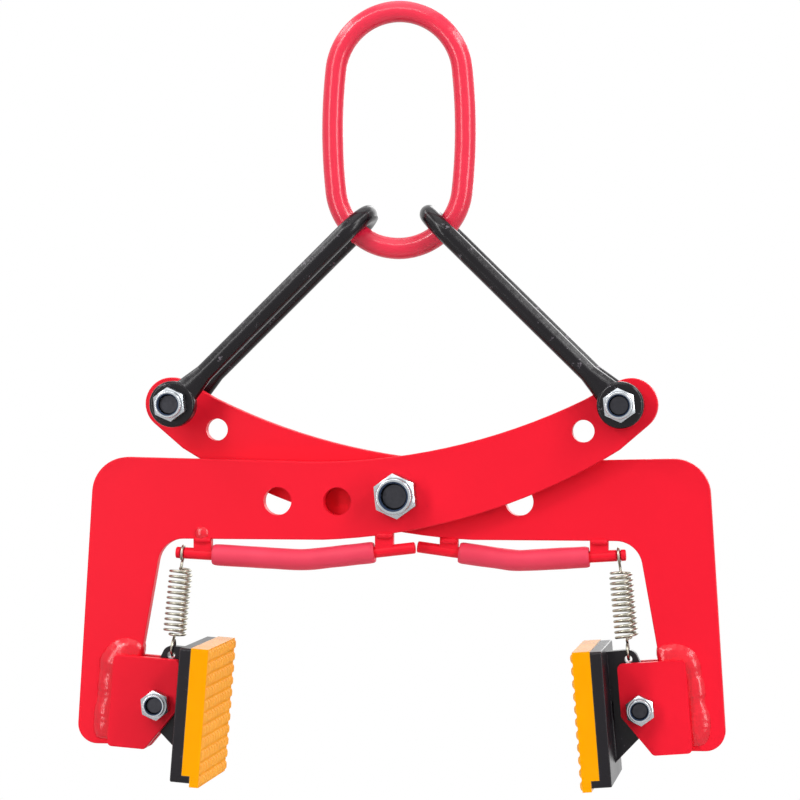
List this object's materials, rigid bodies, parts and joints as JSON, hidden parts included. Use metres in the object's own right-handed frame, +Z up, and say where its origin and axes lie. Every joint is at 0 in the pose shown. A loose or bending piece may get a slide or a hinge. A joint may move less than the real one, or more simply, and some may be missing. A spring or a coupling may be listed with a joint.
{
  "type": "scissor lifting clamp",
  "caption": "Scissor clamp for lifting kerbs and blocks: crossed plate arms hung by shackles from an oblong ring, with sprung bumpy pads on the legs.",
  "frame": {"origin": "where a hook bears, inside the ring's upper bow, midway between the plates", "axes": "+X to the viewer's right along the jaws' opening, +Y away from the viewer along the bolts, +Z up"},
  "size_m": [0.3936, 0.095, 0.4722],
  "materials": {
    "plate_red": "gloss paint",
    "link_red": "gloss paint",
    "black_forging": "black enamel on a forging",
    "black_paint": "black paint",
    "zinc": "bright zinc plate",
    "black_oxide": "black oxide",
    "spring_steel": "nickel plate",
    "nylon": "dark nylon",
    "hose_rubber": "matte red hose",
    "pad_rubber": "cast polyurethane"
  },
  "bodies": {
    "master_link": {"master_link": "link_red"},
    "left_shackle": {"left_shackle": "black_forging", "left_eye_bolt": "black_oxide", "left_eye_nut": "zinc", "left_eye_nut_insert": "nylon", "left_eye_spacer": "zinc", "left_eye_washer": "zinc"},
    "rear_arm": {"rear_arm_plate": "plate_red", "right_front_cheek": "plate_red", "right_rear_cheek": "plate_red", "right_jaw_bolt": "black_oxide", "right_jaw_nut": "zinc", "right_jaw_nut_insert": "nylon", "right_bumper_rod": "plate_red", "right_bumper_lugs": "plate_red", "right_bumper_sleeve": "hose_rubber", "right_spring": "spring_steel"},
    "front_arm": {"front_arm_plate": "plate_red", "left_front_cheek": "plate_red", "left_rear_cheek": "plate_red", "left_jaw_bolt": "black_oxide", "left_jaw_nut": "zinc", "left_jaw_nut_insert": "nylon", "left_bumper_rod": "plate_red", "left_bumper_lugs": "plate_red", "left_bumper_sleeve": "hose_rubber", "left_spring": "spring_steel", "pivot_bolt": "black_oxide", "pivot_nut": "zinc", "pivot_nut_insert": "nylon", "pivot_washer": "zinc"},
    "right_shackle": {"right_shackle": "black_forging", "right_eye_bolt": "black_oxide", "right_eye_nut": "zinc", "right_eye_nut_insert": "nylon", "right_eye_spacer": "zinc", "right_eye_washer": "zinc"},
    "left_jaw": {"left_pad_holder": "black_paint", "left_jaw_lug": "black_paint", "left_grip_pad": "pad_rubber"},
    "right_jaw": {"right_pad_holder": "black_paint", "right_jaw_lug": "black_paint", "right_grip_pad": "pad_rubber"}
  },
  "joints": [
    {"name": "left_shackle_swing", "type": "hinge", "parent": "master_link", "child": "left_shackle", "pos_m": [0, 0, -0.0978], "axis": [0, 1, 0], "range_deg": [-11.18, 2.6]},
    {"name": "left_eye_hinge", "type": "hinge", "parent": "left_shackle", "child": "rear_arm", "pos_m": [-0.13546, 0, -0.23061], "axis": [0, 1, 0], "range_deg": [-7.11, 33.18]},
    {"name": "scissor_pivot", "type": "hinge", "parent": "rear_arm", "child": "front_arm", "pos_m": [0, 0, -0.28561], "axis": [0, -1, 0], "range_deg": [-9, 44]},
    {"name": "right_eye_hinge", "type": "hinge", "parent": "front_arm", "child": "right_shackle", "pos_m": [0.13546, 0, -0.23061], "axis": [0, 1, 0], "range_deg": [-7.11, 33.18]},
    {"name": "left_jaw_swivel", "type": "hinge", "parent": "front_arm", "child": "left_jaw", "pos_m": [-0.1465, -0.0055, -0.41311], "axis": [0, 1, 0], "range_deg": [-10, 20], "stiffness_Nm_per_rad": 1, "springref_deg": -6.59, "deforming": ["left_spring"]},
    {"name": "right_jaw_swivel", "type": "hinge", "parent": "rear_arm", "child": "right_jaw", "pos_m": [0.1465, 0.0055, -0.41311], "axis": [0, -1, 0], "range_deg": [-10, 20], "stiffness_Nm_per_rad": 1, "springref_deg": -6.59, "deforming": ["right_spring"]}
  ],
  "couplings": [
    {"joint": "left_shackle_swing", "follows": "scissor_pivot", "ratio": -0.245},
    {"joint": "left_eye_hinge", "follows": "scissor_pivot", "ratio": 0.745},
    {"joint": "right_eye_hinge", "follows": "scissor_pivot", "ratio": 0.745}
  ]
}
